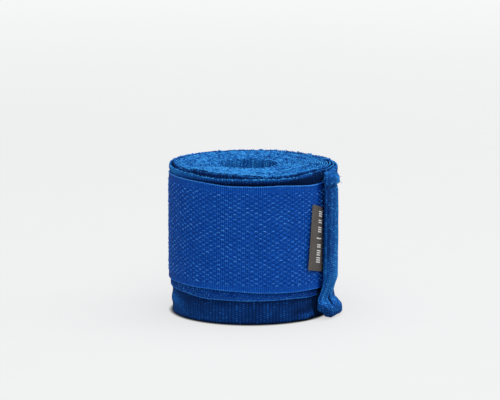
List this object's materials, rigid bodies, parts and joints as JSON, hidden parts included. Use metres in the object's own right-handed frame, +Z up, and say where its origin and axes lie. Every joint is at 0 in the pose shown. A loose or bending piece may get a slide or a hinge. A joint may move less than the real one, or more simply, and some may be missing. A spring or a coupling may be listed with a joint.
{
  "type": "boxing hand wrap",
  "caption": "Rolled stretch-cotton boxing hand wrap standing on edge, with an open core, a gathered end hem, a size label and a hook tape that peels off its loop tape.",
  "frame": {"origin": "centre of the object's bounding box at its base, where the roll stands on one edge", "axes": "+Z up along the roll's axis, -Y towards the front where the hook tape lies, +X towards the end hem"},
  "size_m": [0.0598, 0.0576, 0.0512],
  "materials": {
    "band_cotton": "matt ribbed stretch cotton",
    "hook_tape_nylon": "semi-matt woven nylon with small raised dots",
    "loop_tape_pile": "soft brushed loop pile",
    "label_satin": "flat woven satin with light printed marks",
    "sewing_thread": "twisted polyester thread"
  },
  "bodies": {
    "root": {"wound_band": "band_cotton", "band_last_turn": "band_cotton", "end_hem": "band_cotton", "loop_tape": "loop_tape_pile", "hook_tape_sewn_end": "hook_tape_nylon", "hem_seam": "sewing_thread", "loop_tape_seam": "sewing_thread", "thumb_loop_tack": "sewing_thread"},
    "tab_1": {"hook_tape_1": "hook_tape_nylon"},
    "tab_2": {"hook_tape_2": "hook_tape_nylon"},
    "tab_3": {"hook_tape_3": "hook_tape_nylon"},
    "tab_4": {"hook_tape_4": "hook_tape_nylon"},
    "tab_5": {"hook_tape_5": "hook_tape_nylon"},
    "tab_6": {"hook_tape_6": "hook_tape_nylon"},
    "label": {"size_label": "label_satin"},
    "thumb_loop": {"thumb_loop": "band_cotton"}
  },
  "joints": [
    {"name": "tab_peel_1", "type": "hinge", "parent": "root", "child": "tab_1", "pos_m": [0.01642, -0.02227, 0.03], "axis": [0, 0, 1], "range_deg": [0, 27.5]},
    {"name": "tab_peel_2", "type": "hinge", "parent": "tab_1", "child": "tab_2", "pos_m": [0.00432, -0.02816, 0.03], "axis": [0, 0, 1], "range_deg": [0, 27.5]},
    {"name": "tab_peel_3", "type": "hinge", "parent": "tab_2", "child": "tab_3", "pos_m": [-0.00913, -0.02779, 0.03], "axis": [0, 0, 1], "range_deg": [0, 27.5]},
    {"name": "tab_peel_4", "type": "hinge", "parent": "tab_3", "child": "tab_4", "pos_m": [-0.02089, -0.02126, 0.03], "axis": [0, 0, 1], "range_deg": [0, 27.5]},
    {"name": "tab_peel_5", "type": "hinge", "parent": "tab_4", "child": "tab_5", "pos_m": [-0.0283, -0.01003, 0.03], "axis": [0, 0, 1], "range_deg": [0, 27.5]},
    {"name": "tab_peel_6", "type": "hinge", "parent": "tab_5", "child": "tab_6", "pos_m": [-0.02969, 0.00335, 0.03], "axis": [0, 0, 1], "range_deg": [0, 27.5]},
    {"name": "label_swing", "type": "hinge", "parent": "root", "child": "label", "pos_m": [0.02254, -0.01603, 0.0277], "axis": [0, 0, 1], "range_deg": [0, 75]},
    {"name": "thumb_loop_swing", "type": "hinge", "parent": "root", "child": "thumb_loop", "pos_m": [0.002, 0.00672, 0.025], "axis": [0, 0, 1], "range_deg": [0, 50]}
  ],
  "couplings": [
    {"joint": "tab_peel_2", "follows": "tab_peel_1", "ratio": 1},
    {"joint": "tab_peel_3", "follows": "tab_peel_1", "ratio": 1},
    {"joint": "tab_peel_4", "follows": "tab_peel_1", "ratio": 1},
    {"joint": "tab_peel_5", "follows": "tab_peel_1", "ratio": 1},
    {"joint": "tab_peel_6", "follows": "tab_peel_1", "ratio": 1}
  ]
}
